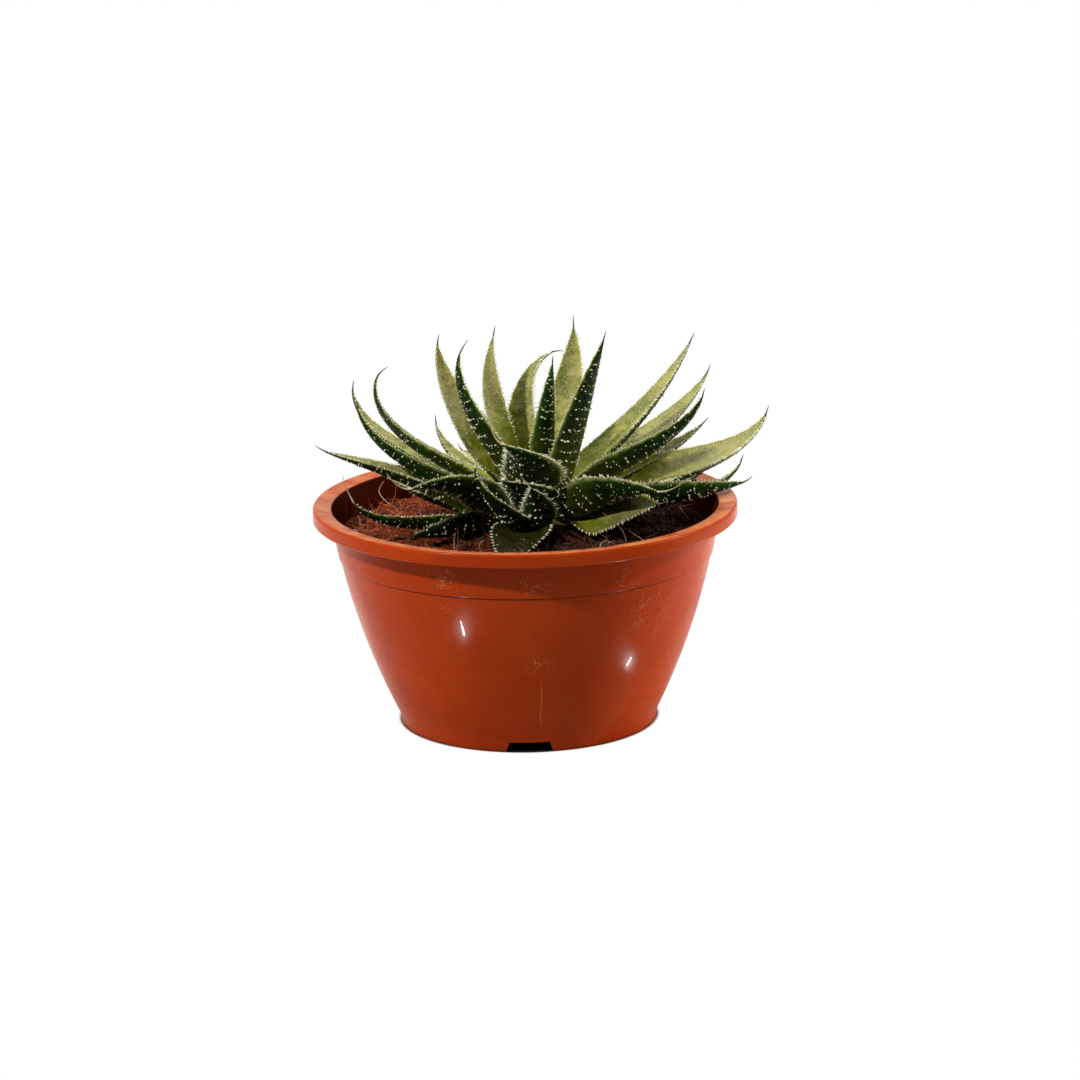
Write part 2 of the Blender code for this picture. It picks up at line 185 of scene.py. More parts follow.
# Stage.
FLOOR_SIZE = 60
WARM_WHITE = (1.0, 0.86, 0.6)
LOW_LAMPS = (("low_right", (0.36, 0.04, 0.03), 0.75), ("low_left", (-0.34, 0.06, 0.03), 0.2))

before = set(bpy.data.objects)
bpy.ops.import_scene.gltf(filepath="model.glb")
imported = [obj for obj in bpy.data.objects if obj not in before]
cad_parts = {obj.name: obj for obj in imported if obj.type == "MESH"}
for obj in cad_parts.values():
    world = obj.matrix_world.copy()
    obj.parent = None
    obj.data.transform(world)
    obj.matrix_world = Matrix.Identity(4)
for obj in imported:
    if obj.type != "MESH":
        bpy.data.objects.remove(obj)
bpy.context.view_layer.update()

pot_low, pot_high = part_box("pot")
AXIS = Vector(((pot_low.x + pot_high.x) / 2, (pot_low.y + pot_high.y) / 2, 0))
RIM_RADIUS = (pot_high.y - pot_low.y) / 2
POT_HEIGHT = pot_high.z
stem_low, stem_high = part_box("stem")
CROWN = Vector(((stem_low.x + stem_high.x) / 2, (stem_low.y + stem_high.y) / 2, 0))
SOIL_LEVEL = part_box("soil")[1].z - HEAP


# ---------------------------------------------------------------- mesh helpers


def add_object(name, mesh, *materials):
    obj = bpy.data.objects.new(name, mesh)
    bpy.context.scene.collection.objects.link(obj)
    for material in materials:
        mesh.materials.append(material)
    return obj


class Builder:
    """Gathers vertices, faces and their attributes, and makes one mesh of them."""

    def __init__(self, *attributes):
        self.points = []
        self.faces = []
        self.slots = []
        self.values = {name: [] for name in attributes}

    def add(self, points, faces, slot=0, **values):
        first = sum(len(block) for block in self.points)
        points = np.asarray(points, float)
        self.points.append(points)
        self.faces += [tuple(first + i for i in face) for face in faces]
        self.slots += [slot] * len(faces)
        for name, block in self.values.items():
            block.append(np.broadcast_to(np.asarray(values.get(name, 0.0), float), len(points)))

    def mesh(self, name):
        mesh = bpy.data.meshes.new(name)
        mesh.from_pydata(np.concatenate(self.points).tolist(), [], self.faces)
        mesh.polygons.foreach_set("material_index", self.slots)
        for attribute, blocks in self.values.items():
            layer = mesh.attributes.new(attribute, "FLOAT", "POINT")
            layer.data.foreach_set("value", np.concatenate(blocks).astype(np.float32))
        mesh.validate()
        mesh.shade_smooth()
        return mesh


def unit(vector):
    return vector / np.linalg.norm(vector)


def side_ways(direction):
    """Two unit vectors square to a direction."""
    helper = np.array((0, 0, 1.0)) if abs(direction[2]) < 0.9 else np.array((1.0, 0, 0))
    one = unit(np.cross(direction, helper))
    return one, np.cross(direction, one)


def tube_parts(points, radii, sides=TUBE_SIDES):
    """Vertices and faces of a closed tube along points, drawn to a point at its end."""
    points = np.asarray(points, float)
    vertices = []
    ahead = np.gradient(points, axis=0)
    one, two = side_ways(unit(ahead[0]))
    for place, way, radius in zip(points[:-1], ahead[:-1], radii):
        way = unit(way)
        one = unit(one - way * one.dot(way))
        two = np.cross(way, one)
        for k in range(sides):
            turn = math.tau * k / sides
            vertices.append(place + radius * (one * math.cos(turn) + two * math.sin(turn)))
    vertices.append(points[-1])
    faces = [tuple(reversed(range(sides)))]
    for ring in range(len(points) - 2):
        for k in range(sides):
            a, b = ring * sides + k, ring * sides + (k + 1) % sides
            faces.append((a, b, b + sides, a + sides))
    last = (len(points) - 2) * sides
    end = len(vertices) - 1
    faces += [(last + k, last + (k + 1) % sides, end) for k in range(sides)]
    return vertices, faces


def turned_mesh(name, outline, sides):
    """A solid of revolution about Z from (radius, height) pairs, both ends on the axis."""
    rings = outline[1:-1]
    turns = np.arange(sides) * math.tau / sides
    vertices = [(0, 0, outline[0][1]), (0, 0, outline[-1][1])]
    for radius, height in rings:
        vertices += [(radius * math.cos(t), radius * math.sin(t), height) for t in turns]
    faces = []
    for ring in range(len(rings) - 1):
        for k in range(sides):
            a, b = 2 + ring * sides + k, 2 + ring * sides + (k + 1) % sides
            faces.append((a, a + sides, b + sides, b))
    last = 2 + (len(rings) - 1) * sides
    for k in range(sides):
        following = (k + 1) % sides
        faces.append((0, 2 + k, 2 + following))
        faces.append((1, last + following, last + k))
    mesh = bpy.data.meshes.new(name)
    mesh.from_pydata(vertices, [], faces)
    return mesh


def arc(centre, radius, start, end, steps=ROUND_STEPS):
    angles = [math.radians(start + (end - start) * i / steps) for i in range(steps + 1)]
    return [
        (centre[0] + radius * math.cos(a), centre[1] + radius * math.sin(a)) for a in angles
    ]


def smooth_step(value, low, high):
    share = np.clip((value - low) / (high - low), 0, 1)
    return share * share * (3 - 2 * share)


# ---------------------------------------------------------------- materials


class Nodes:
    """Short names for building a node tree."""

    def __init__(self, name):
        self.material = bpy.data.materials.new(name)
        self.material.use_nodes = True
        self.tree = self.material.node_tree
        self.shader = self.tree.nodes["Principled BSDF"]
        self.place = self.new("ShaderNodeTexCoord").outputs["Object"]

    def new(self, kind, **settings):
        node = self.tree.nodes.new(kind)
        for key, value in settings.items():
            setattr(node, key, value)
        return node

    def link(self, source, socket):
        self.tree.links.new(source, socket)

    def put(self, socket, value):
        if isinstance(value, bpy.types.NodeSocket):
            self.link(value, socket)
        else:
            socket.default_value = value

    def attribute(self, name):
        return self.new("ShaderNodeAttribute", attribute_name=name).outputs["Fac"]

    def noise(self, scale, detail=3.0, roughness=0.5):
        node = self.new("ShaderNodeTexNoise")
        node.inputs["Scale"].default_value = scale
        node.inputs["Detail"].default_value = detail
        node.inputs["Roughness"].default_value = roughness
        self.link(self.place, node.inputs["Vector"])
        return node.outputs["Fac"]

    def spots(self, scale):
        """The distance from the nearest of many scattered points."""
        node = self.new("ShaderNodeTexVoronoi")
        node.inputs["Scale"].default_value = scale
        self.link(self.place, node.inputs["Vector"])
        return node.outputs["Distance"]

    def near(self, point, full, none):
        """1 within the full distance of a point, fading to 0 at the none distance."""
        node = self.new("ShaderNodeVectorMath", operation="DISTANCE")
        self.link(self.place, node.inputs[0])
        node.inputs[1].default_value = point
        return self.ramp(node.outputs["Value"], full, none, 1.0, 0.0)

    def parts(self, vector):
        """The x, y and z of a vector."""
        node = self.new("ShaderNodeSeparateXYZ")
        self.link(vector, node.inputs["Vector"])
        return node.outputs

    def times(self, *values):
        result = values[0]
        for value in values[1:]:
            result = self.math("MULTIPLY", result, value)
        return result

    def math(self, operation, a, b=0.0):
        node = self.new("ShaderNodeMath", operation=operation)
        self.put(node.inputs[0], a)
        self.put(node.inputs[1], b)
        return node.outputs["Value"]

    def off(self, value, line):
        """How far a value is from a line's value, either way."""
        return self.math("ABSOLUTE", self.math("SUBTRACT", value, line))

    def ramp(self, value, low, high, out_low=0.0, out_high=1.0):
        """The value carried smoothly from low..high to out_low..out_high."""
        node = self.new("ShaderNodeMapRange", interpolation_type="SMOOTHSTEP")
        self.put(node.inputs["Value"], value)
        node.inputs["From Min"].default_value = low
        node.inputs["From Max"].default_value = high
        node.inputs["To Min"].default_value = out_low
        node.inputs["To Max"].default_value = out_high
        return node.outputs["Result"]

    def mix(self, share, one, other):
        node = self.new("ShaderNodeMix", data_type="RGBA")
        self.put(node.inputs["Factor"], share)
        self.put(node.inputs[6], one)
        self.put(node.inputs[7], other)
        return node.outputs[2]

    def bump(self, height, strength, distance):
        node = self.new("ShaderNodeBump")
        node.inputs["Strength"].default_value = strength
        node.inputs["Distance"].default_value = distance
        self.link(height, node.inputs["Height"])
        self.link(node.outputs["Normal"], self.shader.inputs["Normal"])

    def set(self, **values):
        for name, value in values.items():
            self.put(self.shader.inputs[name.replace("_", " ")], value)


def colour(red, green, blue):
    """A screen colour, 0 to 255, as the linear colour that a shader takes."""
    channels = [value / 255 for value in (red, green, blue)]
    return [c / 12.92 if c < 0.04 else ((c + 0.055) / 1.055) ** 2.4 for c in channels] + [1.0]


def leaf_material():
    n = Nodes("aloe_leaf")
    along = n.attribute("along")
    upper = n.attribute("upper")
    edge = n.attribute("edge")
    tint = n.attribute("tint")
    mottle = n.noise(170, 5, 0.65)
    patches = n.noise(55, 3)
    # The under face is near-black green and the upper face pale olive: partly the leaf's own
    # colours, partly painted light, with painted shade on the under face and painted sunlight on
    # the upper face.
    back = n.mix(n.ramp(mottle, 0.35, 0.7), colour(9, 30, 3), colour(30, 64, 9))
    front = n.mix(n.ramp(mottle, 0.36, 0.66), colour(100, 116, 38), colour(182, 176, 106))
    front = n.mix(n.ramp(patches, 0.45, 0.68, 0.0, 0.4), front, colour(66, 90, 26))
    skin = n.mix(upper, back, front)
    skin = n.mix(n.times(tint, upper, n.ramp(along, 0.3, 0.8)), skin, colour(172, 164, 112))
    base = n.mix(n.ramp(mottle, 0.3, 0.7), colour(138, 152, 14), colour(190, 186, 42))
    base_share = n.math("ADD", 0.14, n.times(upper, 0.76))
    skin = n.mix(n.times(n.ramp(along, 0.08, 0.55, 1.0, 0.0), base_share), skin, base)
    # Pale margins: partly the leaf's pale edge, partly a painted highlight along it.
    skin = n.mix(n.ramp(edge, 0.9, 1.0, 0.0, 0.45), skin, colour(176, 178, 118))
    # Painted shade: leaves with a shade attribute are mixed towards near-black green.
    skin = n.mix(n.attribute("shade"), skin, colour(10, 22, 4))
    skin = n.mix(n.ramp(along, 0.9, 1.0, 0.0, 0.8), skin, colour(44, 34, 18))
    n.set(Base_Color=skin, Roughness=n.ramp(n.noise(420, 2), 0.3, 0.7, 0.34, 0.5))
    n.set(Subsurface_Weight=0.35, Subsurface_Radius=(0.8, 1.0, 0.2), Subsurface_Scale=0.003)
    n.set(Specular_IOR_Level=0.18)
    grain = n.math("ADD", n.times(n.noise(330, 4, 0.6), 1.6), n.noise(110, 2))
    n.bump(grain, 0.8, 0.0008)
    return n.material


def wart_material():
    n = Nodes("aloe_wart")
    shade = n.mix(n.noise(500, 2), colour(206, 212, 168), colour(250, 250, 226))
    n.set(Base_Color=shade, Roughness=0.5)
    n.set(Subsurface_Weight=0.3, Subsurface_Radius=(1.0, 1.0, 0.6), Subsurface_Scale=0.001)
    return n.material


def awn_material():
    n = Nodes("aloe_awn")
    along = n.attribute("along")
    shade = n.mix(n.ramp(along, 0.0, 0.6), colour(232, 228, 196), colour(176, 156, 118))
    n.set(Base_Color=shade, Roughness=0.55)
    return n.material


def dark_awn_material():
    n = Nodes("aloe_awn_dark")
    along = n.attribute("along")
    shade = n.mix(n.ramp(along, 0.2, 1.0), colour(46, 40, 20), colour(92, 78, 54))
    n.set(Base_Color=shade, Roughness=0.55)
    return n.material


def stem_material():
    n = Nodes("aloe_stem")
    shade = n.mix(n.ramp(n.noise(300, 4), 0.3, 0.7), colour(120, 116, 48), colour(70, 52, 26))
    n.set(Base_Color=shade, Roughness=0.65)
    n.bump(n.noise(700, 4), 0.6, 0.0006)
    return n.material


def pot_material():
    n = Nodes("terracotta_plastic")
    cloud = n.noise(26, 4, 0.55)
    body = n.mix(n.ramp(cloud, 0.3, 0.7), colour(168, 54, 8), colour(180, 63, 12))
    normal = n.new("ShaderNodeNewGeometry").outputs["Normal"]
    facing_up = n.parts(normal)["Z"]
    # Paler on upward faces such as the rim top: partly dust and wear, partly painted sunlight on
    # the tops.
    wear_and_top_light = n.times(n.ramp(facing_up, 0.75, 1.0), n.ramp(n.noise(90, 5, 0.65), 0.25, 0.7), 0.7)
    body = n.mix(wear_and_top_light, body, colour(222, 150, 100))
    dusty = n.ramp(n.noise(30, 3), 0.46, 0.68, 0.05, 1.0)
    dots = n.ramp(n.spots(900), 0.12, 0.22, 1.0, 0.0)
    body = n.mix(n.times(dots, dusty, 0.4), body, colour(214, 132, 92))
    flat = n.new("ShaderNodeVectorMath", operation="MULTIPLY")
    n.link(n.place, flat.inputs[0])
    flat.inputs[1].default_value = (1, 1, 0)
    outwards = n.new("ShaderNodeVectorMath", operation="DOT_PRODUCT")
    n.link(flat.outputs["Vector"], outwards.inputs[0])
    n.link(normal, outwards.inputs[1])
    # Painted shade: the inside wall is mixed almost wholly to dark brown, standing in for the
    # shadow inside the pot.
    inside = n.times(n.ramp(outwards.outputs["Value"], -0.05, -0.03, 1.0, 0.0), 0.94)
    body = n.mix(inside, body, colour(52, 16, 6))
    grime = n.times(n.ramp(n.spots(170), 0.05, 0.075, 1.0, 0.0), n.ramp(n.noise(40, 2), 0.5, 0.6))
    body = n.mix(n.times(grime, 0.75), body, colour(52, 18, 8))
    for point, reach in SPLASHES:
        here = n.near([c * MM for c in point], reach * 0.3 * MM, reach * MM)
        drops = n.ramp(n.spots(700), 0.16, 0.24, 1.0, 0.0)
        rings = n.ramp(n.off(n.noise(240, 3), 0.5), 0.0, 0.014, 1.0, 0.0)
        marks = n.times(here, n.math("MAXIMUM", drops, rings), n.ramp(n.noise(150, 2), 0.42, 0.6))
        body = n.mix(n.times(marks, 0.45), body, colour(232, 170, 130))
    x, y, z = n.parts(n.place).values()
    wander = n.math("SUBTRACT", n.noise(50, 2), 0.5)
    off_line = n.math("ADD", n.math("SUBTRACT", x, SCRATCH_X), n.times(wander, 0.006))
    scratch = n.times(
        n.ramp(n.math("ABSOLUTE", off_line), 0.0001, 0.00035, 1.0, 0.0),
        n.ramp(z, 0.009, 0.014),
        n.ramp(z, 0.026, 0.034, 1.0, 0.0),
        n.ramp(y, -0.03, 0.0, 1.0, 0.0),
    )
    body = n.mix(n.times(scratch, 0.7), body, colour(214, 120, 66))
    # Painted shadow: a thin dark line along the collar step.
    step_shadow = n.ramp(n.off(z, POT_HEIGHT - COLLAR_HEIGHT), 0.0001, 0.0004, 1.0, 0.0)
    body = n.mix(n.times(step_shadow, 0.75), body, colour(70, 20, 6))
    rough = n.ramp(n.noise(60, 4), 0.3, 0.75, 0.24, 0.34)
    # The inside wall is duller. An export that drops linked specular and sheen loses this.
    shiny = n.math("SUBTRACT", 1.0, inside)
    n.set(Base_Color=body, Roughness=rough, Specular_IOR_Level=n.times(shiny, 0.05))
    n.set(Coat_Weight=n.times(shiny, 0.08), Coat_Roughness=0.05)
    n.set(Sheen_Weight=n.times(shiny, 0.05), Sheen_Roughness=0.25)
    n.set(Sheen_Tint=(1.0, 0.66, 0.25, 1.0))
    n.bump(n.noise(120, 2), 0.1, 0.0006)
    return n.material


def front_right_shade(n):
    """1 at the front right of the compost, which painted shade makes darker, fading to 0 at its
    back left.
    """
    x, y, _ = n.parts(n.place).values()
    return n.ramp(n.math("SUBTRACT", x, y), -0.02, 0.03)


def soil_material():
    n = Nodes("coir_compost")
    crumb = n.noise(420, 6, 0.7)
    patch = n.noise(60, 3)
    shade = n.mix(n.ramp(crumb, 0.32, 0.68), colour(34, 12, 5), colour(128, 52, 22))
    shade = n.mix(n.ramp(patch, 0.45, 0.7, 0.0, 0.45), shade, colour(70, 26, 10))
    # Painted shade on the compost's front right.
    shade = n.mix(n.times(front_right_shade(n), 0.75), shade, colour(14, 6, 3))
    n.set(Base_Color=shade, Roughness=0.95, Specular_IOR_Level=0.1)
    n.bump(crumb, 0.9, 0.0015)
    return n.material


def fibre_material(name, dark, light, shade_share=0.75):
    n = Nodes(name)
    tint = n.attribute("tint")
    shade = n.mix(tint, dark, light)
    shade = n.mix(n.ramp(n.noise(500, 3), 0.35, 0.7, 0.0, 0.4), shade, dark)
    # Painted shade on the fibres and chips at the compost's front right.
    shade = n.mix(n.times(front_right_shade(n), shade_share), shade, colour(22, 8, 4))
    n.set(Base_Color=shade, Roughness=0.8)
    n.bump(n.noise(1400, 3), 0.4, 0.0003)
    return n.material


def floor_material():
    """Pale; seen by the camera it is evenly lit, but for a near-black painted shadow under the pot,
    which shows as a dark crack at its foot.
    """
    n = Nodes("pale_floor")
    away = n.new("ShaderNodeVectorMath", operation="LENGTH")
    n.link(n.place, away.inputs[0])
    radius = away.outputs["Value"]
    behind = n.ramp(n.parts(n.place)["Y"], -0.12, 0.05)
    pale = n.mix(behind, (0.36, 0.36, 0.36, 1), (0.85, 0.85, 0.85, 1))
    uncovered = n.ramp(radius, FOOT_RADIUS - 0.2 * MM, FOOT_RADIUS + 0.8 * MM)
    # Painted shadow: near-black under the pot's foot.
    shade = n.mix(uncovered, (0.012, 0.01, 0.01, 1), pale)
    n.set(Base_Color=shade, Roughness=0.8, Specular_IOR_Level=0.1)
    glow = n.new("ShaderNodeEmission")
    seen = n.new("ShaderNodeLightPath").outputs["Is Camera Ray"]
    both = n.new("ShaderNodeMixShader")
    lit = n.times(n.ramp(radius, FOOT_RADIUS, FOOT_RADIUS + 1.5 * MM), seen)
    n.link(lit, both.inputs["Fac"])
    n.link(n.shader.outputs["BSDF"], both.inputs[1])
    n.link(glow.outputs["Emission"], both.inputs[2])
    n.link(both.outputs["Shader"], n.tree.nodes["Material Output"].inputs["Surface"])
    return n.material


# ---------------------------------------------------------------- pot


def wall_foot():
    return FOOT_RADIUS + FOOT_FLARE


def wall_top():
    return RIM_RADIUS - RIM_WIDTH + WALL


def wall_radius(height):
    share = (height - FOOT_SKIRT) / (POT_HEIGHT - FOOT_SKIRT)
    taper = wall_foot() + (wall_top() - COLLAR_STEP - wall_foot()) * share
    return taper + 4 * BELLY * share * (1 - share)


def heights(low, high):
    return [low + (high - low) * i / WALL_STEPS for i in range(WALL_STEPS + 1)]


def pot_outline():
    """The pot's section: up the inside, over the rim, down the outside and under the floor."""
    flange_top = POT_HEIGHT - RIM_FALL
    lip_foot = POT_HEIGHT - LIP_DROP
    under_flange = POT_HEIGHT - RIM_ROUND - LIP_WALL
    collar = POT_HEIGHT - COLLAR_HEIGHT
    inner_floor = FLOOR_RAISE + FLOOR
    ridge = (RIM_RADIUS - RIM_ROUND, POT_HEIGHT - RIM_ROUND)
    edge = 0.35 * MM
    inside = [(wall_radius(z) - WALL, z) for z in heights(inner_floor + FLOOR, lip_foot)]
    outline = [(0, inner_floor), (inside[0][0] - FLOOR, inner_floor)]
    outline += inside
    outline += [(wall_top() - WALL, flange_top - RIM_FALL)]
    outline += arc((wall_top(), flange_top - RIM_FALL), WALL, 180, 110, 4)
    outline += [(wall_top() + 2.2 * MM, flange_top + 0.25 * MM)]
    outline += arc(ridge, RIM_ROUND, 95, 0)
    outline += [(RIM_RADIUS, lip_foot + edge), (RIM_RADIUS - edge, lip_foot)]
    outline += [(RIM_RADIUS - LIP_WALL, lip_foot), (RIM_RADIUS - LIP_WALL, under_flange)]
    outline += [(wall_top() + LIP_WALL, under_flange - RIM_FALL), (wall_top(), lip_foot)]
    above = [(wall_radius(z) + COLLAR_STEP, z) for z in heights(collar + 0.4 * MM, lip_foot - MM)]
    outline += reversed(above)
    outline += [(wall_radius(collar) + COLLAR_STEP - 0.15 * MM, collar + 0.1 * MM)]
    outline += [(wall_radius(z), z) for z in reversed(heights(FOOT_SKIRT, collar))]
    outline += [(FOOT_RADIUS + 0.1 * MM, 0.4 * MM), (FOOT_RADIUS - 0.3 * MM, 0)]
    outline += [(FOOT_RADIUS - FOOT_WIDTH, 0), (FOOT_RADIUS - FOOT_WIDTH, FLOOR_RAISE)]
    return outline + [(0, FLOOR_RAISE)]


def cutter(mesh, turn, place=(0, 0, 0)):
    obj = add_object("cutter", mesh)
    obj.matrix_world = Matrix.Rotation(turn, 4, "Z") @ Matrix.Translation(place)
    return obj


def notch_mesh():
    bm = bmesh.new()
    bmesh.ops.create_cube(bm, size=1)
    for vertex in bm.verts:
        is_top = vertex.co.z > 0
        vertex.co.x = FOOT_RADIUS + vertex.co.x * 4 * FOOT_WIDTH
        vertex.co.y *= NOTCH_TOP_WIDTH if is_top else NOTCH_FOOT_WIDTH
        vertex.co.z = NOTCH_HEIGHT if is_top else -2 * MM
    mesh = bpy.data.meshes.new("notch")
    bm.to_mesh(mesh)
    bm.free()
    return mesh


def hole_mesh():
    bm = bmesh.new()
    bmesh.ops.create_cone(
        bm, cap_ends=True, segments=40, radius1=HOLE_RADIUS, radius2=HOLE_RADIUS, depth=6 * MM
    )
    mesh = bpy.data.meshes.new("hole")
    bm.to_mesh(mesh)
    bm.free()
    return mesh


def applied(obj):
    """Puts the object's modifiers into its mesh for good."""
    graph = bpy.context.evaluated_depsgraph_get()
    mesh = bpy.data.meshes.new_from_object(obj.evaluated_get(graph))
    obj.modifiers.clear()
    obj.data = mesh


def make_pot():
    pot = add_object("pot_moulding", turned_mesh("pot", pot_outline(), POT_SIDES))
    cutters = []
    for number in range(NOTCH_COUNT):
        turn = math.tau * number / NOTCH_COUNT - math.pi / 2
        cutters.append(cutter(notch_mesh(), turn))
        place = (HOLE_RING, 0, FLOOR_RAISE + FLOOR / 2)
        cutters.append(cutter(hole_mesh(), turn, place))
    for tool in cutters:
        cut = pot.modifiers.new("cut", "BOOLEAN")
        cut.operation = "DIFFERENCE"
        cut.solver = "EXACT"
        cut.object = tool
    bpy.context.view_layer.update()
    applied(pot)
    for tool in cutters:
        bpy.data.objects.remove(tool)
    pot.data.materials.clear()
    pot.data.materials.append(pot_material())
    pot.data.shade_smooth()
    pot.data.set_sharp_from_angle(angle=math.radians(38))
    pot.location = AXIS
    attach(pot, "root")
    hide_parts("pot")


# ---------------------------------------------------------------- leaves


def width_share(share):
    grown = np.sin(math.pi / 2 * np.minimum(share / WIDEST_AT, 1))
    past = np.maximum(share - WIDEST_AT, 0) / (1 - WIDEST_AT)
    return (BASE_SHARE + (1 - BASE_SHARE) * grown) * (1 - past**TAPER_POWER)


def thickness_share(share):
    return 0.1 + 0.9 * (1 - share**THIN_POWER)


def leaf_axes(leaf, share):
    slope = math.radians(leaf.rise + leaf.bend * share + leaf.hook * share**HOOK_POWER)
    turn = math.radians(leaf.azimuth + leaf.swing * share**SWING_POWER)
    along = np.array(
        (math.cos(slope) * math.cos(turn), math.cos(slope) * math.sin(turn), math.sin(slope))
    )
    level = np.array((math.sin(turn), -math.cos(turn), 0))
    ramp = min(share / ROLL_BY, 1)
    roll = math.radians(leaf.roll) * ramp * ramp * (3 - 2 * ramp)
    face = np.cross(level, along)
    across = level * math.cos(roll) - face * math.sin(roll)
    return along, across, face * math.cos(roll) + level * math.sin(roll)


class Blade:
    """One leaf's centre line and its surface as a function of place along and across it."""

    def __init__(self, leaf):
        self.leaf = leaf
        tier = TIERS[leaf.tier]
        turn = math.radians(leaf.azimuth)
        start = np.array(CROWN) + (
            tier.radius * math.cos(turn),
            tier.radius * math.sin(turn),
            SOIL_LEVEL + tier.above_soil,
        )
        self.step = leaf.length * MM / ALONG_STEPS
        self.thick = tier.thickness
        self.line = [start]
        for i in range(ALONG_STEPS):
            way = leaf_axes(leaf, (i + 0.5) / ALONG_STEPS)[0]
            self.line.append(self.line[-1] + way * self.step)
        self.line = np.array(self.line)

    def centre(self, share):
        place = min(max(share, 0), 1) * ALONG_STEPS
        i = min(int(place), ALONG_STEPS - 1)
        return self.line[i] + (self.line[i + 1] - self.line[i]) * (place - i)

    def half(self, share):
        return self.leaf.width * MM / 2 * float(width_share(share))

    def point(self, share, v, upper):
        """A point of the skin; v runs from -1 at one margin to 1 at the other."""
        _, across, face = leaf_axes(self.leaf, share)
        half = self.half(share)
        height = 2 * CUP * half * v * v
        if not upper:
            height -= self.thick * thickness_share(share) * (1 - v * v) ** EDGE_POWER
        return self.centre(share) + across * half * v + face * height

    def outward(self, share, v, upper):
        """The skin's outward direction at a point."""
        d = 0.02
        share = min(max(share, d), 1 - 2 * d)
        v = min(max(v, -1 + 2 * d), 1 - 2 * d)
        one = self.point(share + d, v, upper) - self.point(share - d, v, upper)
        two = self.point(share, v + d, upper) - self.point(share, v - d, upper)
        normal = unit(np.cross(one, two))
        face = leaf_axes(self.leaf, share)[2]
        return normal if (normal.dot(face) > 0) == upper else -normal


def add_blade(build, blade, tint, shade):
    """The body of a leaf, with slightly wavy margins."""
    turns = np.linspace(0, math.pi, FACE_STEPS + 1)
    across = [(-math.cos(t), True) for t in turns]
    across += [(math.cos(t), False) for t in turns[1:-1]]
    points, along, upper, edge = [], [], [], []
    ripple, phase = blade.leaf.length * RIPPLE_RATE, blade.leaf.azimuth
    for ring in range(ALONG_STEPS):
        share = ring / ALONG_STEPS
        for v, is_upper in across:
            wave = RIPPLE * abs(v) ** 3 * math.sin(share * ripple + math.copysign(phase, v))
            lift = leaf_axes(blade.leaf, share)[2] * wave
            points.append(blade.point(share, v, is_upper) + lift)
            along.append(share)
            upper.append(1.0 if is_upper else 0.0)
            edge.append(abs(v))
    count = len(across)
    points.append(blade.line[-1])
    along.append(1.0)
    upper.append(0.5)
    edge.append(0.0)
    faces = [tuple(range(count))]
    for ring in range(ALONG_STEPS - 1):
        for k in range(count):
            a, b = ring * count + k, ring * count + (k + 1) % count
            faces.append((a, a + count, b + count, b))
    last = (ALONG_STEPS - 1) * count
    tip = len(points) - 1
    faces += [(last + k, tip, last + (k + 1) % count) for k in range(count)]
    build.add(points, faces, SKIN, along=along, upper=upper, edge=edge, tint=tint, shade=shade)


def add_cone(build, foot, way, length, radius):
    """A spine: a ring sunk in the skin, a waist and a point."""
    sides = TOOTH_SIDES
    one, two = side_ways(way)
    points = []
    for height, share in ((-0.25, 1.0), (0.35, 0.62)):
        for k in range(sides):
            turn = math.tau * k / sides
            ring = one * math.cos(turn) + two * math.sin(turn)
            points.append(foot + way * length * height + ring * radius * share)
    points.append(foot + way * length)
    faces = [tuple(reversed(range(sides)))]
    for k in range(sides):
        following = (k + 1) % sides
        faces.append((k, following, following + sides, k + sides))
        faces.append((k + sides, following + sides, 2 * sides))
    build.add(points, faces, PALE, along=0.5)


def add_wart(build, foot, outward, forward, size, height, rng):
    """A tubercle: a low oval dome, longer across the leaf."""
    sideways = np.cross(outward, forward)
    sides = WART_SIDES
    points = []
    for rise, share in ((-0.3, 1.0), (0.45, 0.8), (0.85, 0.42)):
        for k in range(sides):
            turn = math.tau * k / sides
            ring = forward * math.cos(turn) * 0.85 + sideways * math.sin(turn) * 1.35
            points.append(foot + outward * height * rise + ring * size * share)
    points.append(foot + outward * height + forward * size * rng.uniform(0.1, 0.5))
    faces = [tuple(reversed(range(sides)))]
    for ring in range(2):
        for k in range(sides):
            a, b = ring * sides + k, ring * sides + (k + 1) % sides
            faces.append((a, b, b + sides, a + sides))
    faces += [(2 * sides + k, 2 * sides + (k + 1) % sides, 3 * sides) for k in range(sides)]
    build.add(points, faces, PALE, along=0.5)


def add_teeth(build, blade, rng):
    """Pale spines along both margins, of uneven length and spacing."""
    leaf = blade.leaf
    for side in (-1, 1):
        share = 0.12 + rng.uniform(0, 0.02)
        while share < 0.975:
            along, across, face = leaf_axes(leaf, share)
            foot = blade.point(share, side * 0.985, True)
            lean = along * rng.uniform(-0.1, 0.7) + face * rng.uniform(-0.25, 0.5)
            length = rng.uniform(1.3, 2.9) * MM * (1 - 0.5 * share) * min(leaf.teeth, 1.3)
            radius = 0.44 * MM * (1 - 0.35 * share)
            add_cone(build, foot, unit(across * side + lean), length, radius)
            share += rng.uniform(0.6, 1.6) / leaf.length / leaf.teeth


def add_one_wart(build, blade, rng, share, v, upper, size, height):
    foot = blade.point(share, v, upper)
    outward = blade.outward(share, v, upper)
    add_wart(build, foot, outward, leaf_axes(blade.leaf, share)[0], size, height, rng)


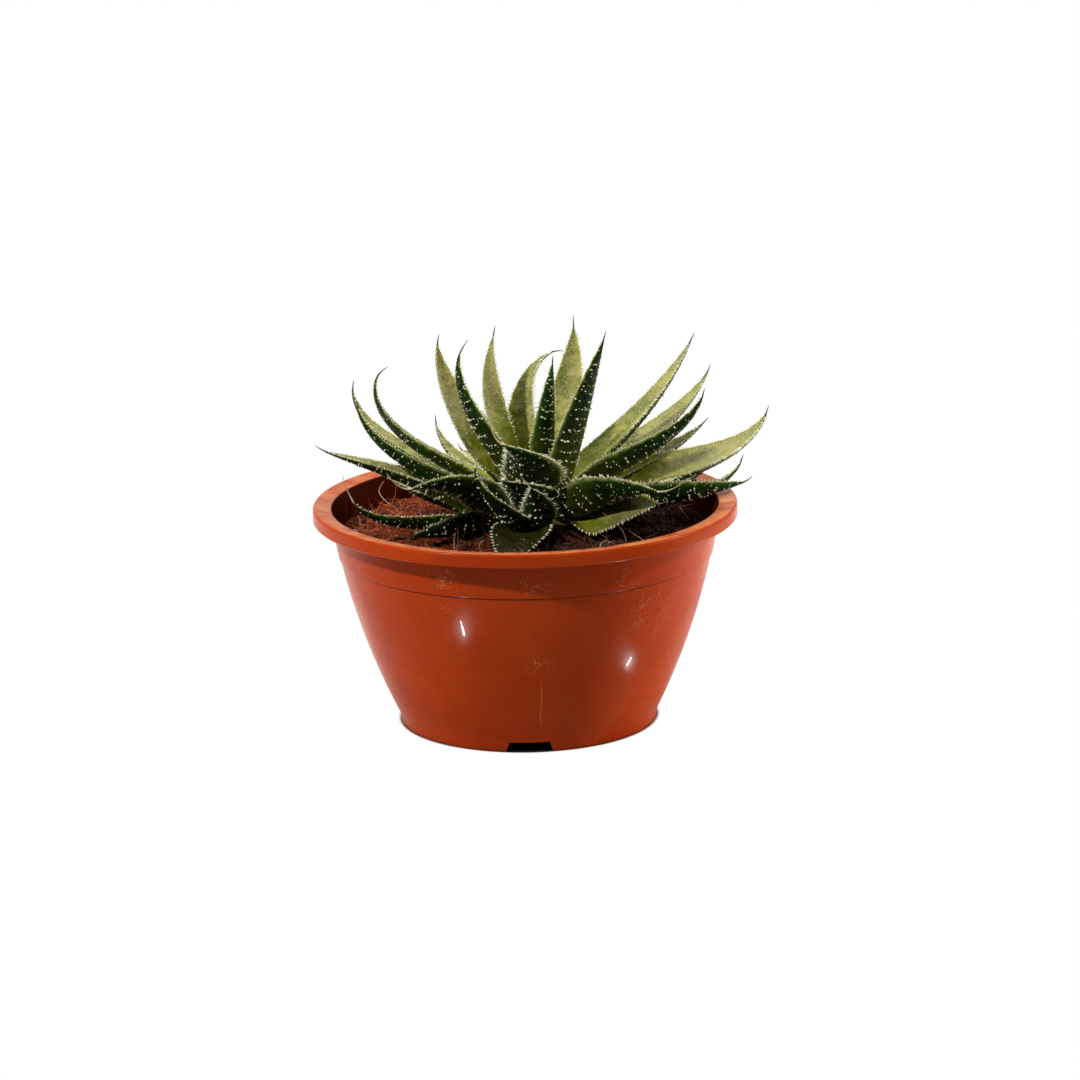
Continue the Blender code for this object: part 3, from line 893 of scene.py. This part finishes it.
def add_warts(build, blade, rng):
    """Tubercles: broken bands across the back, and single ones on both faces."""
    leaf = blade.leaf
    share = rng.uniform(0.12, 0.18)
    while share < 0.95:
        half = blade.half(share)
        slant = rng.uniform(-0.03, 0.03)
        bow = rng.uniform(-0.02, 0.03)
        count = max(int(half * 2 / (1.15 * MM) * leaf.warts), 2)
        gap_at, gap = rng.uniform(-1, 1), rng.uniform(0.0, 0.3)
        for k in range(count):
            v = -0.95 + 1.9 * (k + rng.uniform(0.1, 0.9)) / count
            if abs(v - gap_at) < gap or rng.random() < 0.15:
                continue
            here = share + slant * v + bow * v * v + rng.gauss(0, 0.004)
            size = rng.choice((0.24, 0.34, 0.44, 0.58)) * MM * (1 - 0.4 * share)
            add_one_wart(build, blade, rng, here, v, False, size, size * rng.uniform(0.8, 1.7))
        share += rng.uniform(3.6, 5.4) / leaf.length / (0.75 + 0.9 * share)
    for _ in range(int(leaf.length * 0.6 * leaf.warts)):
        here = rng.uniform(0.15, 0.94) ** 0.8
        size = rng.uniform(0.18, 0.34) * MM * (1 - 0.3 * here)
        height = size * rng.uniform(0.8, 2.2)
        add_one_wart(build, blade, rng, here, rng.uniform(-0.92, 0.92), False, size, height)
    for _ in range(int(leaf.length * 0.9 * leaf.warts)):
        here = rng.uniform(0.2, 0.95) ** 0.7
        size = rng.uniform(0.2, 0.4) * MM * (1 - 0.3 * here)
        height = size * rng.uniform(0.8, 1.8)
        add_one_wart(build, blade, rng, here, rng.uniform(-0.88, 0.88), True, size, height)


def add_awn(build, blade):
    """The dried hair at a leaf's tip."""
    leaf = blade.leaf
    length = leaf.awn * MM
    along, across, face = leaf_axes(leaf, 1.0)
    bend = math.radians(leaf.awn_up) / AWN_STEPS
    sway = math.radians(leaf.awn_side) / AWN_STEPS
    place = blade.centre(0.985)
    points, way = [place], along
    for _ in range(AWN_STEPS):
        way = unit(way + face * bend + across * sway)
        place = place + way * length / AWN_STEPS
        points.append(place)
    radii = [0.33 * MM * (1 - 0.7 * i / AWN_STEPS) for i in range(AWN_STEPS + 1)]
    points, faces = tube_parts(points, radii)
    ramp = np.repeat(np.linspace(0, 1, AWN_STEPS + 1), TUBE_SIDES)[: len(points) - 1]
    slot = PALE_AWN if leaf.awn > LONG_AWN else DARK_AWN
    build.add(points, faces, slot, along=np.append(ramp, 1.0))


def make_leaves():
    materials = (leaf_material(), wart_material(), awn_material(), dark_awn_material())
    for number, leaf in enumerate(LEAVES, start=1):
        rng = random.Random(number)
        build = Builder("along", "upper", "edge", "tint", "shade")
        blade = Blade(leaf)
        add_blade(build, blade, rng.uniform(0.25, 0.85), SHADED_LEAVES.get(number, 0.0))
        add_teeth(build, blade, rng)
        add_warts(build, blade, rng)
        add_awn(build, blade)
        obj = add_object(f"aloe_leaf_{number:02d}", build.mesh("leaf"), *materials)
        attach(obj, "root")
        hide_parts(f"leaf_{number:02d}")


# ---------------------------------------------------------------- compost


def bed_radius():
    """The inner wall's radius at the compost's surface."""
    return wall_radius(SOIL_LEVEL) - WALL - GAP


def soil_height(x, y):
    """The compost's surface above SOIL_LEVEL, from the pot's axis."""
    radius = math.hypot(x, y)
    heap = HEAP * (1 - smooth_step(radius, 20 * MM, 66 * MM))
    low = noise.noise(Vector((x, y, 0)) * 70)
    fine = noise.noise(Vector((x, y, 3)) * 330)
    return heap + low * 0.9 * MM + fine * 0.5 * MM - 0.2 * MM


def make_soil():
    rings, sides = SOIL_RINGS, SOIL_SIDES
    outer = bed_radius()
    vertices = [(0, 0, SOIL_LEVEL + soil_height(0, 0))]
    for ring in range(1, rings + 1):
        radius = outer * ring / rings
        for k in range(sides):
            turn = math.tau * k / sides
            x, y = radius * math.cos(turn), radius * math.sin(turn)
            vertices.append((x, y, SOIL_LEVEL + soil_height(x, y)))
    faces = [(0, 1 + k, 1 + (k + 1) % sides) for k in range(sides)]
    for ring in range(rings - 1):
        for k in range(sides):
            a, b = 1 + ring * sides + k, 1 + ring * sides + (k + 1) % sides
            faces.append((a, a + sides, b + sides, b))
    depth = SOIL_LEVEL - (FLOOR_RAISE + FLOOR + GAP)
    levels = [SOIL_LEVEL - 4 * MM] + [SOIL_LEVEL - depth * i / 6 for i in range(1, 7)]
    first = 1 + (rings - 1) * sides
    for level in levels:
        radius = wall_radius(max(level, FOOT_SKIRT)) - WALL - GAP
        row = len(vertices)
        for k in range(sides):
            turn = math.tau * k / sides
            vertices.append((radius * math.cos(turn), radius * math.sin(turn), level))
        for k in range(sides):
            a, b = first + k, first + (k + 1) % sides
            c, d = row + k, row + (k + 1) % sides
            faces.append((a, c, d, b))
        first = row
    faces.append(tuple(reversed(range(first, first + sides))))
    mesh = bpy.data.meshes.new("compost")
    mesh.from_pydata(vertices, [], faces)
    mesh.validate()
    mesh.shade_smooth()
    soil = add_object("compost", mesh, soil_material())
    soil.location = AXIS
    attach(soil, "root")
    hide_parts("soil")


def bed_point(rng, reach=0.97, inner=0.0):
    outer = bed_radius()
    while True:
        radius = outer * reach * math.sqrt(rng.uniform(inner, 1))
        turn = rng.uniform(0, math.tau)
        x, y = radius * math.cos(turn), radius * math.sin(turn)
        if math.hypot(x - (CROWN - AXIS).x, y) > STEM_CLEARANCE:
            return x, y


def add_fibre(build, rng, length, radius, lift, curl, tint, steep=0.0):
    """A thin bent fibre that starts on the compost."""
    x, y = bed_point(rng)
    turn = rng.uniform(0, math.tau)
    slope = rng.uniform(0.0, lift) + steep
    spin, dip = rng.uniform(-curl, curl), rng.uniform(-curl, curl * 0.4)
    place = np.array((x, y, SOIL_LEVEL + soil_height(x, y) - 0.3 * MM))
    points = [place]
    limit = bed_radius() - 0.5 * MM
    for _ in range(FIBRE_STEPS):
        way = np.array(
            (math.cos(slope) * math.cos(turn), math.cos(slope) * math.sin(turn), math.sin(slope))
        )
        place = place + way * length / FIBRE_STEPS
        reach = math.hypot(place[0], place[1])
        if reach > limit:
            place[:2] *= limit / reach
        ground = SOIL_LEVEL + soil_height(place[0], place[1])
        place[2] = max(place[2], ground + 0.05 * MM)
        points.append(place)
        turn += spin / FIBRE_STEPS
        slope += dip / FIBRE_STEPS
    radii = [radius * (1 - 0.5 * i / FIBRE_STEPS) for i in range(FIBRE_STEPS + 1)]
    points, faces = tube_parts(points, radii, FIBRE_SIDES)
    build.add(points, faces, 0, tint=tint)


def add_chip(build, rng, size, tint, place=None):
    """A flat, torn crumb of husk, at a place or, without one, anywhere on the compost."""
    tilt = Matrix.Rotation(rng.uniform(-0.7, 0.7), 3, "X") @ Matrix.Rotation(
        rng.uniform(-0.7, 0.7), 3, "Y"
    )
    spin = Matrix.Rotation(rng.uniform(0, math.tau), 3, "Z")
    if place is None:
        x, y = bed_point(rng, 0.95)
        place = (x, y, SOIL_LEVEL + soil_height(x, y) + size * 0.15)
    foot = np.array(place)
    sides = CHIP_SIDES
    shape = [rng.uniform(0.55, 1.15) for _ in range(sides)]
    points = []
    for height, share in ((-0.28, 0.8), (0.0, 1.0), (0.26, 0.72)):
        for k in range(sides):
            turn = math.tau * k / sides
            local = Vector(
                (math.cos(turn) * shape[k] * share, math.sin(turn) * shape[k] * share * 0.6, height)
            )
            local += Vector([rng.uniform(-0.06, 0.06) for _ in range(3)])
            points.append(foot + np.array(tilt @ spin @ local) * size)
    faces = [tuple(reversed(range(sides))), tuple(range(2 * sides, 3 * sides))]
    for ring in range(2):
        for k in range(sides):
            a, b = ring * sides + k, ring * sides + (k + 1) % sides
            faces.append((a, b, b + sides, a + sides))
    build.add(points, faces, 0, tint=tint)


def make_litter():
    rng = random.Random(11)
    fibres = Builder("tint")
    for _ in range(FIBRES):
        length = rng.uniform(3, 12) * MM
        add_fibre(fibres, rng, length, rng.uniform(0.07, 0.17) * MM, 0.8, 2.6, rng.random())
    chips = Builder("tint")
    for _ in range(CHIPS):
        add_chip(chips, rng, rng.uniform(0.5, 2.0) * MM, rng.random())
    for _ in range(RIM_CRUMBS):
        turn = math.radians(rng.gauss(-95, 32))
        radius = rng.uniform(wall_top() - 0.3 * MM, RIM_RADIUS - 2.5 * MM)
        place = (radius * math.cos(turn), radius * math.sin(turn), POT_HEIGHT - 0.9 * MM)
        add_chip(chips, rng, rng.uniform(0.15, 0.6) * MM, rng.random(), place)
    pale = Builder("tint")
    for _ in range(PALE_FIBRES):
        length = rng.uniform(7, 18) * MM
        add_fibre(pale, rng, length, rng.uniform(0.1, 0.2) * MM, 1.2, 2.8, rng.random(), 0.1)
    coir = fibre_material("coir_fibre", colour(120, 44, 14), colour(236, 124, 62))
    husk = fibre_material("husk_chip", colour(34, 14, 6), colour(140, 60, 28))
    straw = fibre_material("pale_fibre", colour(190, 140, 100), colour(240, 222, 196), 0.0)
    looks = (
        ("coir_fibres", fibres, coir),
        ("husk_chips", chips, husk),
        ("pale_fibres", pale, straw),
    )
    for name, build, material in looks:
        obj = add_object(name, build.mesh(name), material)
        obj.location = AXIS
        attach(obj, "root")
        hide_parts("soil")


# ---------------------------------------------------------------- stage


def make_stage():
    bpy.ops.mesh.primitive_plane_add(size=FLOOR_SIZE, location=AXIS)
    floor = bpy.context.object
    floor.name = "floor"
    floor.data.materials.append(floor_material())


def sun(name, towards, strength, angle, tone):
    """A distant light that shines from the direction towards."""
    light = bpy.data.lights.new(name, "SUN")
    light.energy = strength
    light.angle = math.radians(angle)
    light.color = tone
    obj = bpy.data.objects.new(name, light)
    bpy.context.scene.collection.objects.link(obj)
    obj.rotation_euler = Vector(towards).to_track_quat("Z", "Y").to_euler()


def lamp(name, place, target, size, power, tone=(1, 1, 1)):
    """A soft round lamp that the camera doesn't see; places are from the pot's axis."""
    light = bpy.data.lights.new(name, "AREA")
    light.shape = "DISK"
    light.size = size
    light.energy = power
    light.color = tone
    obj = bpy.data.objects.new(name, light)
    bpy.context.scene.collection.objects.link(obj)
    obj.location = AXIS + Vector(place)
    obj.rotation_euler = (Vector(place) - Vector(target)).to_track_quat("Z", "Y").to_euler()
    obj.visible_camera = False
    return obj


def glint(name, spot, gap, size, power):
    """A small lamp by the pot's wall that the scene's camera sees reflected at a spot on the wall.

    It is placed for that camera alone. From behind, it burns white patches into the pot's edge.
    """
    turn, height = math.radians(spot[0]), spot[1] * MM
    radius = wall_radius(height)
    fall = (wall_radius(height + MM) - wall_radius(height - MM)) / (2 * MM)
    out = Vector((math.cos(turn), math.sin(turn), -fall)).normalized()
    place = AXIS + Vector((radius * math.cos(turn), radius * math.sin(turn), height))
    camera = AXIS + Vector((0, -CAMERA_BACK, CAMERA_UP))
    seen = (place - camera).normalized()
    away = seen - out * 2 * seen.dot(out)
    light = bpy.data.lights.new(name, "AREA")
    light.shape = "ELLIPSE"
    light.size, light.size_y = size[0] * MM, size[1] * MM
    light.energy = power
    obj = bpy.data.objects.new(name, light)
    bpy.context.scene.collection.objects.link(obj)
    obj.location = place + away * gap * MM
    obj.rotation_euler = away.to_track_quat("Z", "Y").to_euler()
    obj.visible_camera = False
    obj.visible_diffuse = False


def make_world():
    """Dark in front of the plant and bright behind it, and plain white where the camera sees it."""
    world = bpy.data.worlds.new("studio")
    bpy.context.scene.world = world
    world.use_nodes = True
    nodes, links = world.node_tree.nodes, world.node_tree.links
    background = nodes["Background"]
    split = nodes.new("ShaderNodeSeparateXYZ")
    links.new(nodes.new("ShaderNodeTexCoord").outputs["Generated"], split.inputs["Vector"])
    depth = nodes.new("ShaderNodeMapRange")
    depth.interpolation_type = "SMOOTHSTEP"
    depth.inputs["From Min"].default_value = -0.45
    depth.inputs["From Max"].default_value = 0.4
    depth.inputs["To Min"].default_value = 0.04
    depth.inputs["To Max"].default_value = 0.6
    links.new(split.outputs["Y"], depth.inputs["Value"])
    seen = nodes.new("ShaderNodeMix")
    links.new(nodes.new("ShaderNodeLightPath").outputs["Is Camera Ray"], seen.inputs["Factor"])
    links.new(depth.outputs["Result"], seen.inputs["A"])
    seen.inputs["B"].default_value = 1.0
    links.new(seen.outputs["Result"], background.inputs["Strength"])
    background.inputs["Color"].default_value = (1, 1, 1, 1)


def make_lights():
    make_world()
    sun("key", (-0.565, -0.474, 0.676), 2.5, 3, (1.0, 0.96, 0.86))
    sun("side", (0.853, 0.1, 0.5), 1.35, 5, (1.0, 0.95, 0.84))
    lamp("top", (-0.05, 0.3, 0.9), (0, 0, 0.1), 0.5, 3.4)
    for name, place, power in LOW_LAMPS:
        low = lamp(name, place, (0, 0, 0.04), 0.12, power, WARM_WHITE)
        low.visible_glossy = False
    glint("glint_left", (-110.5, 52), 24, (1.2, 8.0), 0.009)
    glint("glint_right", (-53, 34.5), 24, (0.9, 6.0), 0.0055)


def make_camera():
    data = bpy.data.cameras.new("camera")
    data.lens = LENS
    data.sensor_width = SENSOR_WIDTH
    data.clip_end = 100
    camera = bpy.data.objects.new("camera", data)
    bpy.context.scene.collection.objects.link(camera)
    bpy.context.scene.camera = camera
    yaw, pitch = CAMERA_YAW, CAMERA_PITCH
    level = Vector((math.sin(yaw), math.cos(yaw), 0))
    ahead = level * math.cos(pitch) - Vector((0, 0, math.sin(pitch)))
    right = ahead.cross(Vector((0, 0, 1))).normalized()
    up = right.cross(ahead)
    x_axis = right * math.cos(CAMERA_ROLL) + up * math.sin(CAMERA_ROLL)
    y_axis = up * math.cos(CAMERA_ROLL) - right * math.sin(CAMERA_ROLL)
    turn = Matrix((x_axis, y_axis, -ahead)).transposed().to_4x4()
    camera.matrix_world = Matrix.Translation(AXIS + Vector((0, -CAMERA_BACK, CAMERA_UP))) @ turn


def main():
    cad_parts["stem"].data.materials.clear()
    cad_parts["stem"].data.materials.append(stem_material())
    make_pot()
    make_soil()
    make_litter()
    make_leaves()
    make_stage()
    make_lights()
    make_camera()
    bpy.context.scene.view_settings.view_transform = "Standard"


main()
